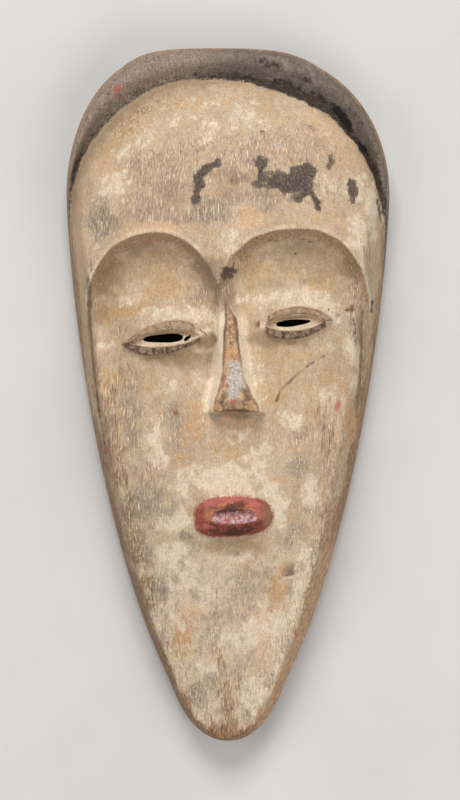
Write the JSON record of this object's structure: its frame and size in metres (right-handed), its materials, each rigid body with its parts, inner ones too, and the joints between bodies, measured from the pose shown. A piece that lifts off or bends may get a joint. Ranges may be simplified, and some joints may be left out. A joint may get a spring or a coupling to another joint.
{
  "type": "miniature mask",
  "caption": "Small carved wooden face mask with brow arches, slit eyes, a long narrow nose and a hollow back, worn pale paint.",
  "frame": {"origin": "middle of the flat back rim's box, on the surface that the mask lies on", "axes": "+Z out of the face, +Y towards the crown, +X to the right of someone looking at the face"},
  "size_m": [0.0932, 0.2, 0.0386],
  "materials": {
    "painted_wood": "worn matt white clay and ochre paint over brown wood, dark crest, red lips"
  },
  "bodies": {
    "root": {"mask": "painted_wood"}
  },
  "joints": []
}
